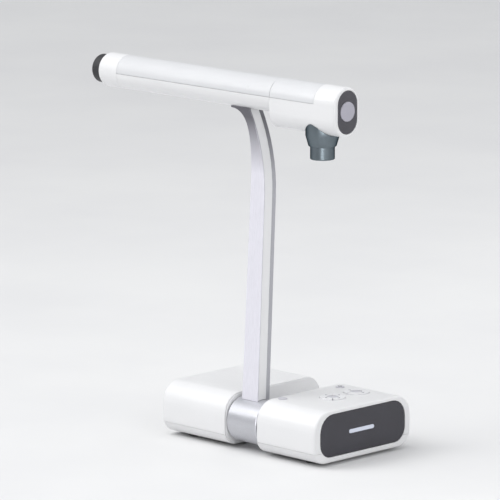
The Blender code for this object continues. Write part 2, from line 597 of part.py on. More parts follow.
def make_lens(shell, head_axis):
    """Conical collar, barrel and front element under the head, with the sensor board above them."""
    centre, bore = (LENS_X, BAR_Y), BARREL_RADIUS + GAP
    cut_round(shell, "Z", centre, bore + 0.0002, 0.39, BARREL_TOP, "lens", LENS_STEPS)
    box("sensor_board", (LENS_X - 0.018, BAR_Y - 0.017, 0.4290),
        (LENS_X + 0.018, BAR_Y + 0.017, 0.4306), BOARD, parent=head_axis)
    cone = [(bore, COLLAR_LOW), (COLLAR_LOW_RADIUS - 0.0008, COLLAR_LOW),
            (COLLAR_LOW_RADIUS, COLLAR_LOW + 0.0008), (COLLAR_RADIUS, COLLAR_SHOULDER),
            (COLLAR_RADIUS, 0.425), (bore, 0.425)]
    collar = lathe("lens_collar", cone, "Z", centre, LENS_STEPS, SLATE, parent=head_axis, closed=True)
    boolean(collar, extrude("collar_saddle", head_section(-GAP), "X", 0.12, 0.222, TOOL))
    mouth, seat = 0.0127, BARREL_LOW + 0.0081
    barrel = [(mouth, BARREL_LOW), (BARREL_RADIUS - 0.0008, BARREL_LOW), (BARREL_RADIUS, BARREL_LOW + 0.0008),
              (BARREL_RADIUS, BARREL_TOP), (0.0100, BARREL_TOP), (0.0100, seat), (mouth, seat)]
    lathe("lens_barrel", barrel, "Z", centre, LENS_STEPS, SLATE, parent=head_axis, closed=True)
    low, high, radius = BARREL_LOW + 0.0033, BARREL_LOW + 0.0077, 0.0122
    dome = [(radius * i / 5, low + 0.0020 * (i / 5) ** 2) for i in range(6)]
    lathe("front_lens", dome + [(radius, high), (0, high)], "Z", centre, LENS_STEPS, GLASS, parent=head_axis)


def make_head(head_axis):
    shell = head_body("head_shell", WHITE, head_axis)
    cut_box(shell, (0.1, -0.1, BAR_Z), (HEAD_COVER_RIGHT + GAP, 0, 0.5), "cover")
    cover = head_body("head_top_cover", PALE, head_axis)
    cut_box(cover, (0.1, -0.1, 0.3), (0.3, 0, BAR_Z + GAP), "below")
    cut_box(cover, (HEAD_COVER_RIGHT, -0.1, 0.3), (0.3, 0, 0.5), "right")
    make_head_end(shell, head_axis)
    make_lens(shell, head_axis)


clear_scene()

TOOL = material("cutting_tool", (1.0, 0.3, 0.1), 0.5)
WHITE = material("white_plastic", (0.88, 0.88, 0.89), 0.35)
PALE = material("pale_grey_plastic", (0.78, 0.79, 0.80), 0.35)
SILVER = material("silver_grey_paint", (0.55, 0.56, 0.60), 0.35, 0.5)
LAVENDER = material("lavender_silver_paint", (0.70, 0.69, 0.76), 0.30, 0.4)
GRAPHITE = material("grey_strip_paint", (0.36, 0.36, 0.40), 0.32, 0.4)
SMOKED = material("smoked_gloss_plastic", (0.045, 0.042, 0.055), 0.12)
DARK = material("dark_plastic", (0.03, 0.03, 0.035), 0.45)
BLACK = material("black_plastic", (0.015, 0.015, 0.016), 0.5)
SLATE = material("slate_lens_plastic", (0.06, 0.075, 0.09), 0.35)
GLASS = material("coated_lens_glass", (0.10, 0.13, 0.18), 0.05)
KEY = material("white_keys", (0.80, 0.80, 0.82), 0.4)
GREY_KEY = material("grey_keys", (0.50, 0.49, 0.56), 0.35)
LIGHT = material("indicator_lens", (0.75, 0.78, 0.88), 0.2)
DIFFUSER = material("lamp_diffuser_plastic", (0.92, 0.92, 0.90), 0.5)
RUBBER = material("foot_rubber", (0.05, 0.05, 0.05), 0.85)
STEEL = material("bright_steel", (0.60, 0.60, 0.62), 0.3, 1.0)
METAL = material("socket_metal", (0.70, 0.70, 0.70), 0.3, 1.0)
BRASS = material("brass_washer", (0.75, 0.58, 0.25), 0.3, 1.0)
BOARD = material("circuit_board", (0.03, 0.18, 0.08), 0.5)
VGA_BLUE = material("blue_socket_plastic", (0.04, 0.08, 0.35), 0.4)

ROOT = axis_empty("document_camera", (0, 0, 0))
ARM_AXIS = axis_empty("arm_axis", (NOTCH_MIDDLE, PIVOT_Y, PIVOT_Z), ROOT)
HEAD_AXIS = axis_empty("head_axis", (HEAD_LEFT, BAR_Y, BAR_Z), ARM_AXIS)

make_base()
make_keys()
make_arm(ARM_AXIS)
make_bar(ARM_AXIS)
make_head(HEAD_AXIS)
ROOT.location.x = CENTRE_SHIFT
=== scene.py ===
"""Looks of the desktop document camera: finishes, eased edges, lens, key marks, floor, light and camera."""
import json
from math import cos, pi, radians, sin

import bmesh
import bpy
from mathutils import Matrix, Vector


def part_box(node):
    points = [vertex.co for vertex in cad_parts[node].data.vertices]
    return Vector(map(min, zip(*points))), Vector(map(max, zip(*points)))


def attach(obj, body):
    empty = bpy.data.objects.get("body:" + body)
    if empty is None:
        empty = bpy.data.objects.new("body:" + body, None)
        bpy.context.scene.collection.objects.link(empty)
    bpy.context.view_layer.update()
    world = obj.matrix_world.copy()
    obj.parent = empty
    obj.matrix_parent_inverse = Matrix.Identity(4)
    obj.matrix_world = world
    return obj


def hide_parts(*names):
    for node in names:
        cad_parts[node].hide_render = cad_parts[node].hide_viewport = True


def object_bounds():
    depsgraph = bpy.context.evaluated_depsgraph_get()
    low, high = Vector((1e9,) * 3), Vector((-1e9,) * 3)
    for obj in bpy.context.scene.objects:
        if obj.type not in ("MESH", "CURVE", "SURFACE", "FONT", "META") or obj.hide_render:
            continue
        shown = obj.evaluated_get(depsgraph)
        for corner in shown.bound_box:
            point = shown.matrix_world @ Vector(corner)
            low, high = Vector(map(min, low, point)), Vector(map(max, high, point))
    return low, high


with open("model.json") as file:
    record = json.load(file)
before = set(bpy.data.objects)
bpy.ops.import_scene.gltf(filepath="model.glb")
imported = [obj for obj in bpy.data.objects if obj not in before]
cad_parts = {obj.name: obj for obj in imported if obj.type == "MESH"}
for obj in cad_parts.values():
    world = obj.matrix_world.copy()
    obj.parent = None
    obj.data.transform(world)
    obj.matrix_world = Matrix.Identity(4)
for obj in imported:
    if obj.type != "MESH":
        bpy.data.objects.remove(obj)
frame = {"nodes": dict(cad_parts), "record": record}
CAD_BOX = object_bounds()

MM = 0.001
RUBBED = "rubbed"                # face attribute: 1 on eased edges
BAR_SHADE_HEIGHTS = (0.347, 0.414)      # heights between which painted shade darkens the arm's strips towards the bar
BAR_SHADE_GREY = (0.12, 0.118, 0.135)
EASED_SEGMENTS = 2


# ---------------------------------------------------------------- node helpers

class Finish:
    """A Principled material under construction, with the few texture steps that all finishes share."""

    def __init__(self, name, roughness=0.4, metallic=0.0):
        self.material = bpy.data.materials.new(name)
        self.material.use_nodes = True
        self.tree = self.material.node_tree
        self.shader = self.tree.nodes["Principled BSDF"]
        self.shader.inputs["Roughness"].default_value = roughness
        self.shader.inputs["Metallic"].default_value = metallic
        self.place = self.tree.nodes.new("ShaderNodeTexCoord").outputs["Object"]

    def set(self, **values):
        for label, value in values.items():
            self.shader.inputs[label.replace("_", " ")].default_value = value

    def link(self, source, target):
        self.tree.links.new(source, target)

    def stretched(self, scale):
        """Object coordinates scaled by a different amount along each axis."""
        mapping = self.tree.nodes.new("ShaderNodeMapping")
        mapping.inputs["Scale"].default_value = scale
        self.link(self.place, mapping.inputs["Vector"])
        return mapping.outputs["Vector"]

    def noise(self, scale, detail=2.0, roughness=0.5, vector=None):
        texture = self.tree.nodes.new("ShaderNodeTexNoise")
        texture.inputs["Scale"].default_value = scale
        texture.inputs["Detail"].default_value = detail
        texture.inputs["Roughness"].default_value = roughness
        self.link(vector or self.place, texture.inputs["Vector"])
        return texture.outputs["Fac"]

    def cells(self, scale):
        texture = self.tree.nodes.new("ShaderNodeTexVoronoi")
        texture.inputs["Scale"].default_value = scale
        self.link(self.place, texture.inputs["Vector"])
        return texture.outputs["Distance"]

    def spread(self, source, low, high, out_low, out_high):
        """Map source between low and high to the range out_low to out_high."""
        step = self.tree.nodes.new("ShaderNodeMapRange")
        limits = {"From Min": low, "From Max": high, "To Min": out_low, "To Max": out_high}
        for label, value in limits.items():
            step.inputs[label].default_value = value
        self.link(source, step.inputs["Value"])
        return step.outputs["Result"]

    def combine(self, operation, first, second):
        step = self.tree.nodes.new("ShaderNodeMath")
        step.operation = operation
        self.link(first, step.inputs[0])
        self.link(second, step.inputs[1])
        return step.outputs["Value"]

    def blend(self, amount, first, second):
        """Mix two colours, each given as a triple or as a socket."""
        step = self.tree.nodes.new("ShaderNodeMix")
        step.data_type = "RGBA"
        self.link(amount, step.inputs["Factor"])
        for index, colour in ((6, first), (7, second)):
            if isinstance(colour, bpy.types.NodeSocket):
                self.link(colour, step.inputs[index])
            else:
                step.inputs[index].default_value = (*colour, 1.0)
        return step.outputs[2]

    def height_along_z(self):
        split = self.tree.nodes.new("ShaderNodeSeparateXYZ")
        self.link(self.place, split.inputs["Vector"])
        return split.outputs["Z"]

    def edges(self):
        """Patchy mask of the eased edges, which polish() marks on their faces."""
        marked = self.tree.nodes.new("ShaderNodeAttribute")
        marked.attribute_name = RUBBED
        patches = self.spread(self.noise(55.0, detail=4.0), 0.40, 0.62, 0.15, 1.0)
        return self.combine("MULTIPLY", marked.outputs["Fac"], patches)

    def colour(self, source):
        self.link(source, self.shader.inputs["Base Color"])

    def roughness(self, source):
        self.link(source, self.shader.inputs["Roughness"])

    def bump(self, *layers):
        """Stack (height, depth in metres) layers into one normal."""
        normal = None
        for height, depth in layers:
            step = self.tree.nodes.new("ShaderNodeBump")
            step.inputs["Strength"].default_value = 1.0
            step.inputs["Distance"].default_value = depth
            self.link(height, step.inputs["Height"])
            if normal:
                self.link(normal, step.inputs["Normal"])
            normal = step.outputs["Normal"]
        self.link(normal, self.shader.inputs["Normal"])


def shade(colour, factor):
    return tuple(min(1.0, channel * factor) for channel in colour)


# ---------------------------------------------------------------- finishes

def moulded(name, colour, roughness, grain=2600.0, depth=0.010 * MM, coat=0.0, worn=1.06,
            blotch=0.975):
    """Injection-moulded plastic: fine spark texture, faint flow marks, handling smudges, rubbed edges."""
    finish = Finish(name, roughness)
    finish.set(Coat_Weight=coat, Coat_Roughness=0.12, IOR=1.49)
    flow = finish.noise(14.0, detail=4.0, vector=finish.stretched((1.0, 1.6, 2.4)))
    smudge = finish.noise(38.0, detail=5.0, roughness=0.62)
    body = finish.blend(finish.spread(flow, 0.35, 0.65, 0.0, 1.0), shade(colour, blotch), colour)
    finish.colour(finish.blend(finish.edges(), body, shade(colour, worn)))
    finish.roughness(finish.spread(smudge, 0.30, 0.72, roughness - 0.06, roughness + 0.09))
    finish.bump((finish.noise(grain, detail=2.0), depth), (finish.noise(90.0, detail=3.0), 0.012 * MM))
    return finish.material


def metallic_paint(name, colour, roughness):
    """Sprayed metallic paint: flakes, a little orange peel, and thin spots on the edges."""
    finish = Finish(name, roughness, metallic=0.55)
    finish.set(Coat_Weight=0.35, Coat_Roughness=0.15)
    flakes = finish.cells(2400.0)
    cloud = finish.noise(24.0, detail=4.0)
    sparkle = finish.spread(flakes, 0.10, 0.75, 0.0, 1.0)
    body = finish.blend(sparkle, shade(colour, 1.10), shade(colour, 0.90))
    body = finish.blend(finish.spread(cloud, 0.35, 0.70, 0.0, 0.22), body, shade(colour, 0.80))
    finish.colour(finish.blend(finish.edges(), body, shade(colour, 1.25)))
    finish.roughness(finish.spread(cloud, 0.30, 0.70, roughness - 0.05, roughness + 0.08))
    finish.bump((finish.noise(420.0, detail=2.0), 0.010 * MM), (flakes, 0.003 * MM))
    return finish.material


def brushed_strip(name, colour, metallic):
    """Painted strip, brushed along its length, with painted shade that darkens it towards the top, under the
    bar.
    """
    finish = Finish(name, 0.32, metallic)
    finish.set(Coat_Weight=0.25, Coat_Roughness=0.12)
    brush = finish.noise(1.0, detail=3.0, vector=finish.stretched((1500.0, 1500.0, 90.0)))
    cloud = finish.noise(26.0, detail=3.0)
    streaks = finish.spread(brush, 0.25, 0.75, 0.0, 1.0)
    body = finish.blend(streaks, shade(colour, 0.93), shade(colour, 1.05))
    # painted shade: the strip's colour darkens with height, standing in for the bar's shadow and dark
    # reflections
    bar_shade = finish.spread(finish.height_along_z(), *BAR_SHADE_HEIGHTS, 0.0, 1.0)
    body = finish.blend(bar_shade, body, BAR_SHADE_GREY)
    finish.colour(finish.blend(finish.edges(), body, shade(colour, 1.20)))
    finish.roughness(finish.spread(finish.combine("ADD", brush, cloud), 0.6, 1.4, 0.26, 0.42))
    finish.bump((brush, 0.005 * MM))
    return finish.material


def gloss_panel(name, colour):
    """Smoked gloss plastic with hairline polishing marks and a little dust."""
    finish = Finish(name, 0.09)
    finish.set(Coat_Weight=0.3, Coat_Roughness=0.03, IOR=1.46)
    dust_grey = (0.20, 0.19, 0.21)
    swirl = finish.noise(5.0, detail=6.0, roughness=0.7, vector=finish.stretched((40.0, 9.0, 260.0)))
    dust = finish.cells(520.0)
    cloud = finish.spread(finish.noise(16.0, detail=3.0), 0.35, 0.7, 0.0, 1.0)
    body = finish.blend(cloud, colour, shade(colour, 1.35))
    specks = finish.spread(dust, 0.035, 0.075, 1.0, 0.0)
    finish.colour(finish.blend(specks, body, dust_grey))
    hairlines = finish.spread(swirl, 0.45, 0.75, 0.06, 0.20)
    dusty = finish.spread(dust, 0.03, 0.08, 0.35, 0.0)
    finish.roughness(finish.combine("ADD", hairlines, dusty))
    finish.bump((swirl, 0.004 * MM))
    return finish.material


def brushed_metal(name, colour, roughness):
    """Bare metal with fine lines along X and a cloudy tone."""
    finish = Finish(name, roughness, metallic=1.0)
    along_x = finish.stretched((60.0, 900.0, 900.0))
    lines = finish.noise(1.0, detail=4.0, roughness=0.6, vector=along_x)
    cloud = finish.noise(60.0, detail=4.0)
    patches = finish.spread(cloud, 0.3, 0.7, 0.0, 1.0)
    finish.colour(finish.blend(patches, shade(colour, 0.88), shade(colour, 1.06)))
    streaks = finish.combine("ADD", lines, cloud)
    finish.roughness(finish.spread(streaks, 0.6, 1.4, roughness - 0.08, roughness + 0.14))
    finish.bump((lines, 0.008 * MM))
    return finish.material


def slate_paint(name, colour, roughness):
    """Metallic slate paint: turning marks round the axis, dark where seen edge-on, rubbed edges."""
    finish = Finish(name, roughness, metallic=1.0)
    finish.shader.inputs["Specular Tint"].default_value = (0.05, 0.06, 0.07, 1.0)
    rings = finish.noise(1.0, detail=3.0, vector=finish.stretched((30.0, 30.0, 2600.0)))
    cloud = finish.noise(70.0, detail=4.0)
    patches = finish.spread(cloud, 0.3, 0.7, 0.0, 1.0)
    body = finish.blend(patches, shade(colour, 0.90), shade(colour, 1.04))
    finish.colour(finish.blend(finish.edges(), body, shade(colour, 1.5)))
    streaks = finish.combine("ADD", rings, cloud)
    finish.roughness(finish.spread(streaks, 0.6, 1.4, roughness - 0.05, roughness + 0.08))
    finish.bump((rings, 0.004 * MM))
    return finish.material


def circuit_board(name):
    """Green solder mask over copper runs."""
    mask_dark, mask_light, copper_run = (0.010, 0.085, 0.035), (0.016, 0.125, 0.050), (0.045, 0.200, 0.080)
    finish = Finish(name, 0.35)
    runs = finish.tree.nodes.new("ShaderNodeTexBrick")
    runs.inputs["Scale"].default_value = 190.0
    runs.inputs["Mortar Size"].default_value = 0.035
    finish.link(finish.place, runs.inputs["Vector"])
    cloud = finish.noise(70.0, detail=3.0)
    mask = finish.blend(finish.spread(cloud, 0.3, 0.7, 0.0, 1.0), mask_dark, mask_light)
    finish.colour(finish.blend(runs.outputs["Fac"], mask, copper_run))
    finish.roughness(finish.spread(cloud, 0.3, 0.7, 0.28, 0.45))
    finish.bump((runs.outputs["Fac"], 0.02 * MM))
    return finish.material


def rubber(name, colour):
    """Matt rubber with a dusty bloom and greyed edges."""
    finish = Finish(name, 0.82)
    bloom = finish.noise(120.0, detail=5.0, roughness=0.6)
    body = finish.blend(finish.spread(bloom, 0.4, 0.75, 0.0, 1.0), colour, shade(colour, 1.9))
    finish.colour(finish.blend(finish.edges(), body, shade(colour, 2.4)))
    finish.roughness(finish.spread(bloom, 0.3, 0.7, 0.72, 0.92))
    finish.bump((finish.noise(1500.0), 0.03 * MM))
    return finish.material


def frosted(name, colour):
    """Frosted lamp cover: passes a little light, with a fine prismatic texture."""
    finish = Finish(name, 0.5)
    finish.set(Transmission_Weight=0.35, IOR=1.49, Subsurface_Weight=0.15)
    finish.shader.inputs["Subsurface Radius"].default_value = (0.004, 0.004, 0.004)
    prisms = finish.cells(700.0)
    cloud = finish.noise(30.0, detail=3.0)
    finish.colour(finish.blend(finish.spread(cloud, 0.35, 0.65, 0.0, 1.0), shade(colour, 0.97), colour))
    finish.roughness(finish.spread(cloud, 0.3, 0.7, 0.42, 0.60))
    finish.bump((prisms, 0.03 * MM))
    return finish.material


def coated_glass(name, tint, coat_tint):
    """Optical glass with a coloured anti-reflection coating and a trace of dust."""
    finish = Finish(name, 0.02)
    finish.set(Transmission_Weight=1.0, IOR=1.60, Coat_Weight=1.0, Coat_Roughness=0.02)
    finish.shader.inputs["Coat Tint"].default_value = (*coat_tint, 1.0)
    dust, dust_grey = finish.cells(900.0), (0.45, 0.45, 0.45)
    finish.colour(finish.blend(finish.spread(dust, 0.02, 0.05, 1.0, 0.0), tint, dust_grey))
    finish.roughness(finish.spread(finish.noise(160.0, detail=4.0), 0.45, 0.8, 0.015, 0.07))
    return finish.material


def pale_floor(name):
    """Matt backdrop with no gloss, so that no light leaves a streak on it."""
    low_tone, high_tone = (0.735, 0.735, 0.74), (0.765, 0.765, 0.765)
    finish = Finish(name, 0.62)
    finish.set(Specular_IOR_Level=0.0)
    cloud = finish.noise(3.0, detail=5.0)
    finish.colour(finish.blend(finish.spread(cloud, 0.35, 0.65, 0.0, 1.0), low_tone, high_tone))
    finish.bump((finish.noise(260.0, detail=4.0), 0.05 * MM))
    return finish.material


FINISHES = {
    "white_plastic": moulded("white_plastic", (0.80, 0.80, 0.807), 0.34, coat=0.12),
    # pale_plastic is a greyer copy of the white plastic for the top covers: the cover is a real separate
    # part, but its darker tone is painted shade on the bar's upper half
    "pale_plastic": moulded("pale_plastic", (0.69, 0.695, 0.71), 0.33, coat=0.12),
    "silver_paint": metallic_paint("silver_paint", (0.56, 0.565, 0.60), 0.36),
    "lavender_paint": brushed_strip("lavender_paint", (0.77, 0.76, 0.825), 0.15),
    # the back strip is a real part, but its darker grey is painted shade standing in for the shaded rounded
    # rear edge of the arm
    "grey_strip_paint": brushed_strip("grey_strip_paint", (0.43, 0.43, 0.465), 0.25),
    "smoked_panel": gloss_panel("smoked_panel", (0.019, 0.018, 0.026)),
    "dark_plastic": moulded("dark_plastic", (0.028, 0.028, 0.032), 0.46, grain=1500.0, depth=0.02 * MM,
                            worn=2.2, blotch=0.8),
    "indicator_lens": moulded("indicator_lens", (0.72, 0.76, 0.88), 0.16, grain=900.0, depth=0.004 * MM,
                              coat=0.6),
    "steel": brushed_metal("steel", (0.58, 0.58, 0.60), 0.30),
    "brass": brushed_metal("brass", (0.72, 0.55, 0.24), 0.30),
    "circuit_board": circuit_board("circuit_board"),
    "socket_metal": brushed_metal("socket_metal", (0.72, 0.72, 0.71), 0.22),
    "socket_insulator": moulded("socket_insulator", (0.035, 0.07, 0.32), 0.42, grain=1400.0, worn=1.5,
                                blotch=0.85),
    "foot_rubber": rubber("foot_rubber", (0.045, 0.045, 0.047)),
    "key_plastic": moulded("key_plastic", (0.80, 0.80, 0.815), 0.42, grain=1900.0, depth=0.014 * MM,
                           worn=1.05),
    "grey_key_plastic": moulded("grey_key_plastic", (0.60, 0.595, 0.64), 0.38, grain=1900.0,
                                depth=0.014 * MM, worn=1.25, blotch=0.93),
    "lamp_diffuser": frosted("lamp_diffuser", (0.93, 0.93, 0.91)),
    "lens_plastic": slate_paint("lens_plastic", (0.158, 0.188, 0.208), 0.34),
    "lens_glass": coated_glass("lens_glass", (0.72, 0.80, 0.92), (0.55, 0.50, 1.0)),
}
FOCUS_DISC = moulded("focus_disc", (0.44, 0.43, 0.49), 0.38, grain=1900.0, depth=0.014 * MM, worn=1.25,
                     blotch=0.93)
HEAD_PLATE = moulded("head_plate", (0.070, 0.068, 0.080), 0.46, grain=1500.0, depth=0.02 * MM, worn=1.5,
                     blotch=0.9)
MARK_INK = moulded("mark_ink", (0.22, 0.22, 0.25), 0.45, grain=1600.0, worn=1.3, blotch=0.9)
BORE_BLACK = moulded("bore_black", (0.012, 0.012, 0.013), 0.55, grain=1200.0, depth=0.03 * MM, worn=1.8,
                     blotch=0.8)
PHOSPHOR = moulded("led_phosphor", (0.85, 0.72, 0.18), 0.35, grain=1200.0, worn=1.05)
# nodes that aren't shown in their slot's finish
OWN_FINISH = {"focus_button": FOCUS_DISC, "head_end_plate": HEAD_PLATE}
SLOT_OF = {row["node"]: row["material_slot"] for row in frame["record"]["subparts"]}
BODY_OF = {node: body for body, nodes in frame["record"]["behaviour"]["bodies"].items() for node in nodes}


# ---------------------------------------------------------------- mesh helpers

def add_mesh(name, mesh, finish, body, smooth_angle=48.0):
    """Turn a bmesh into a finished piece that rides on a body."""
    bmesh.ops.recalc_face_normals(mesh, faces=mesh.faces)
    data = bpy.data.meshes.new(name)
    mesh.to_mesh(data)
    mesh.free()
    data.materials.append(finish)
    data.shade_smooth()
    data.set_sharp_from_angle(angle=radians(smooth_angle))
    piece = bpy.data.objects.new(name, data)
    bpy.context.collection.objects.link(piece)
    normals = piece.modifiers.new("weighted_normals", "WEIGHTED_NORMAL")
    normals.keep_sharp = True
    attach(piece, body)
    return piece


def polish(node, ease):
    """Stand-in for a CAD node with its coplanar facets merged and its sharp edges eased."""
    merge_within, flat_within, sharp_over = 0.002 * MM, radians(0.4), radians(38)
    mesh = bmesh.new()
    mesh.from_mesh(frame["nodes"][node].data)
    bmesh.ops.remove_doubles(mesh, verts=mesh.verts, dist=merge_within)
    bmesh.ops.dissolve_limit(mesh, angle_limit=flat_within, verts=mesh.verts, edges=mesh.edges)
    rubbed = mesh.faces.layers.float.new(RUBBED)
    sharp = [edge for edge in mesh.edges
             if len(edge.link_faces) == 2 and edge.calc_face_angle(0.0) > sharp_over]
    eased = bmesh.ops.bevel(mesh, geom=sharp, offset=ease, offset_type="OFFSET", segments=EASED_SEGMENTS,
                            profile=0.5, affect="EDGES", clamp_overlap=True)
    for face in eased["faces"]:
        face[rubbed] = 1.0
    finish = OWN_FINISH.get(node, FINISHES[SLOT_OF[node]])
    piece = add_mesh(f"{node}_finish", mesh, finish, BODY_OF[node])
    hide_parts(node)


def turned(profile, centre, steps, axis="Z"):
    """A bmesh turned about Z or Y from (radius, place along the axis) points; radius 0 closes it."""
    mesh = bmesh.new()
    loops = []
    for radius, along in profile:
        count = steps if radius else 1
        ring = []
        for i in range(count):
            angle = 2 * pi * i / steps
            u, v = centre[0] + radius * cos(angle), centre[1] + radius * sin(angle)
            ring.append(mesh.verts.new((u, v, along) if axis == "Z" else (u, along, v)))
        loops.append(ring)
    closed = [(loops[-1], loops[0])] if profile[0][0] and profile[-1][0] else []
    for near, far in list(zip(loops, loops[1:])) + closed:
        for i in range(steps):
            j = (i + 1) % steps
            corners = [near[i % len(near)], near[j % len(near)], far[j % len(far)], far[i % len(far)]]
            mesh.faces.new(list(dict.fromkeys(corners)))
    return mesh


def plate(outline, low, high, ease=0.0):
    """A bmesh of an (x, y) outline between two heights, with its top edge eased."""
    mesh = bmesh.new()
    bottom = [mesh.verts.new((x, y, low)) for x, y in outline]
    top = [mesh.verts.new((x, y, high)) for x, y in outline]
    mesh.faces.new(bottom)
    lid = mesh.faces.new(top)
    for i in range(len(outline)):
        j = (i + 1) % len(outline)
        mesh.faces.new((bottom[i], bottom[j], top[j], top[i]))
    if ease:
        bmesh.ops.bevel(mesh, geom=list(lid.edges), offset=ease, segments=EASED_SEGMENTS, profile=0.5,
                        affect="EDGES")
    return mesh


def block(low, high, ease=0.0):
    """A bmesh of a box between two corners, with every edge eased."""
    corners = [(low[0], low[1]), (high[0], low[1]), (high[0], high[1]), (low[0], high[1])]
    mesh = plate(corners, low[2], high[2])
    if ease:
        bmesh.ops.bevel(mesh, geom=list(mesh.edges), offset=ease, segments=EASED_SEGMENTS, profile=0.5,
                        affect="EDGES")
    return mesh


def middle(node):
    low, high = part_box(node)
    return (low + high) / 2


# ---------------------------------------------------------------- pieces

# how far the edges of each outer node are eased
EASED = {
    0.45 * MM: ["left_cover", "right_cover", "base_tray", "arm_shell", "arm_back_strip", "hinge_drum",
                "lens_collar"],
    0.30 * MM: ["bar_lower_shell", "bar_top_cover", "head_shell", "head_top_cover", "left_end_cap",
                "left_end_bumper", "end_panel", "head_end_plate", "arm_front_strip", "focus_button",
                "lens_barrel", "left_notch_trim", "right_notch_trim", "bridge_plate", "rubber_foot_1",
                "rubber_foot_2", "rubber_foot_3", "rubber_foot_4"],
    0.25 * MM: ["right_key", "back_key", "left_key", "front_key", "menu_key", "zoom_in_key", "zoom_out_key",
                "freeze_key", "power_key", "arm_release_key", "indicator_light", "lamp_diffuser",
                "rear_socket_plate", "power_socket", "vga_socket"],
    0.12 * MM: ["usb_socket", "hdmi_socket"],
}


def make_finished_nodes():
    """Eased stand-ins for the outer nodes; the inner ones only take their slot's finish."""
    polished = set()
    for ease, nodes in EASED.items():
        for node in nodes:
            polish(node, ease)
            polished.add(node)
    for node, piece in frame["nodes"].items():
        if node not in polished:
            piece.data.materials.clear()
            piece.data.materials.append(FINISHES[SLOT_OF[node]])


def make_key_marks():
    """Raised marks on the keys: arrows, plus and minus, and a power ring."""
    sunk, thickness, eased = 0.02 * MM, 0.12 * MM, 0.05 * MM
    pad = middle("menu_key")
    reach = 0.66 * (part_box("right_key")[1].x - pad.x)      # from a pad's centre to the middle of its ring
    for i, node in enumerate(("right_key", "back_key", "left_key", "front_key")):
        angle = pi / 2 * i
        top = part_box(node)[1].z
        tip = [(1.9 * MM, 0.0), (-1.3 * MM, 1.9 * MM), (-1.3 * MM, -1.9 * MM)]
        arrow = [(pad.x + cos(angle) * (reach + u) - sin(angle) * v,
                  pad.y + sin(angle) * (reach + u) + cos(angle) * v) for u, v in tip]
        add_mesh(f"{node}_mark", plate(arrow, top - sunk, top + thickness, eased), MARK_INK,
                 BODY_OF[node])
    zoom = middle("freeze_key")
    for node, side in (("zoom_in_key", 1), ("zoom_out_key", -1)):
        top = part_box(node)[1].z
        x, half, bar = zoom.x + side * reach, 2.0 * MM, 0.45 * MM
        cross = [(-half, -bar), (half, -bar), (half, bar), (-half, bar)]
        if node == "zoom_in_key":
            cross = [(-half, -bar), (-bar, -bar), (-bar, -half), (bar, -half), (bar, -bar), (half, -bar),
                     (half, bar), (bar, bar), (bar, half), (-bar, half), (-bar, bar), (-half, bar)]
        outline = [(x + u, zoom.y + v) for u, v in cross]
        add_mesh(f"{node}_mark", plate(outline, top - sunk, top + thickness, eased), MARK_INK,
                 BODY_OF[node])
    power = middle("power_key")
    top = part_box("power_key")[1].z
    outer, inner, gap, step = 2.4 * MM, 1.8 * MM, 40, 10      # two radii, then two angles in degrees
    sweeps = ((outer, range(gap, 361 - gap, step)), (inner, range(360 - gap, gap - 1, -step)))
    ring = [(power.x + radius * sin(radians(a)), power.y + radius * cos(radians(a)))
            for radius, angles in sweeps for a in angles]
    half, foot, head = 0.3 * MM, 0.6 * MM, 2.8 * MM
    corners = ((-half, foot), (half, foot), (half, head), (-half, head))
    stroke = [(power.x + u, power.y + v) for u, v in corners]
    for name, outline in (("power_mark_ring", ring), ("power_mark_stroke", stroke)):
        add_mesh(name, plate(outline, top - sunk, top + thickness), BORE_BLACK, BODY_OF["power_key"])


def make_lens():
    """Inside of the lens: retaining ring, ribbed bore, inner element and iris behind the front glass."""
    centre = (middle("lens_barrel").x, middle("lens_barrel").y)
    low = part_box("lens_barrel")[0].z
    body, steps = BODY_OF["lens_barrel"], 96
    ring = [(10.6 * MM, low + 1.0 * MM), (11.0 * MM, low + 0.5 * MM), (12.3 * MM, low + 0.5 * MM),
            (12.55 * MM, low + 0.8 * MM), (12.55 * MM, low + 2.9 * MM), (11.6 * MM, low + 2.9 * MM),
            (10.6 * MM, low + 2.2 * MM)]
    add_mesh("lens_retaining_ring", turned(ring, centre, steps), BORE_BLACK, body)
    glass, glass_edge = FINISHES["lens_glass"], 30      # the glass is smooth except where it turns 30 degrees
    glass_low, glass_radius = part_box("front_lens")[0].z, 12.1 * MM
    dome = [(glass_radius * i / 10, glass_low + 2.0 * MM * (i / 10) ** 2) for i in range(11)]
    back = [(glass_radius * i / 10, glass_low + 4.4 * MM - 0.8 * MM * (1 - (i / 10) ** 2))
            for i in range(10, -1, -1)]
    front = add_mesh("front_lens_glass", turned(dome + back, centre, steps), glass, body,
                     glass_edge)
    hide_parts("front_lens")
    start, pitch = glass_low + 6.0 * MM, 1.5 * MM
    ribs = [(9.6 * MM, start)]
    for i in range(9):
        z = start + pitch * i
        ribs += [(8.9 * MM, z + 0.4 * MM), (8.9 * MM, z + 0.8 * MM), (9.6 * MM, z + 1.2 * MM)]
    ribs += [(9.85 * MM, ribs[-1][1]), (9.85 * MM, start)]
    add_mesh("lens_bore_baffle", turned(ribs, centre, steps), BORE_BLACK, body)
    inner, inner_radius = start + 15.5 * MM, 9.0 * MM
    cup = [(inner_radius * i / 8, inner + 1.6 * MM * (i / 8) ** 2) for i in range(9)]
    rear = [(inner_radius * i / 8, inner + 3.6 * MM) for i in range(8, -1, -1)]
    add_mesh("inner_lens_glass", turned(cup + rear, centre, steps), glass, body, glass_edge)
    iris = [(0.0, inner + 5.0 * MM), (9.4 * MM, inner + 5.0 * MM), (9.4 * MM, inner + 5.6 * MM),
            (0.0, inner + 5.6 * MM)]
    add_mesh("iris_plate", turned(iris, centre, steps), BORE_BLACK, body)


